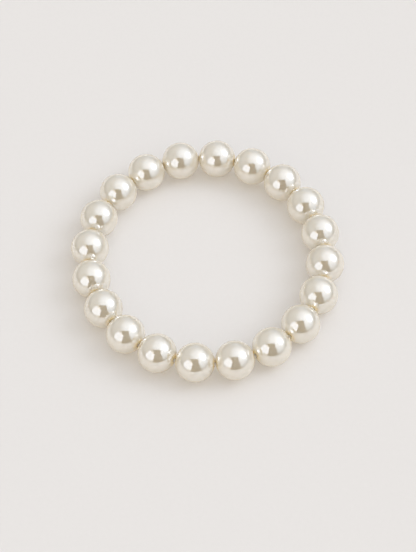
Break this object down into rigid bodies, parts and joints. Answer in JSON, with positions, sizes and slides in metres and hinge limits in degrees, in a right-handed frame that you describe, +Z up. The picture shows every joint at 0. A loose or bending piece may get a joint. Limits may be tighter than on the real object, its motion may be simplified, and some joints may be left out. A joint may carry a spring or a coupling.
{
  "type": "pearl bracelet",
  "caption": "Stretch bracelet of equal round pearls strung close together on a hidden loop of elastic, lying flat in a slightly oval ring.",
  "frame": {"origin": "middle of the loop, on the surface that the pearls rest on", "axes": "+Z up through the wrist opening; +Y away from the picture's camera, near the oval's long axis; +X to the camera's right"},
  "size_m": [0.0724, 0.0768, 0.01],
  "materials": {
    "nacre": "warm white pearl lustre, glossy",
    "elastic": "clear white stretch elastic, satin"
  },
  "bodies": {
    "root": {"pearl_01": "nacre", "pearl_02": "nacre", "pearl_03": "nacre", "pearl_04": "nacre", "pearl_05": "nacre", "pearl_06": "nacre", "pearl_07": "nacre", "pearl_08": "nacre", "pearl_09": "nacre", "pearl_10": "nacre", "pearl_11": "nacre", "pearl_12": "nacre", "pearl_13": "nacre", "pearl_14": "nacre", "pearl_15": "nacre", "pearl_16": "nacre", "pearl_17": "nacre", "pearl_18": "nacre", "pearl_19": "nacre", "pearl_20": "nacre", "elastic_cord": "elastic"}
  },
  "joints": []
}
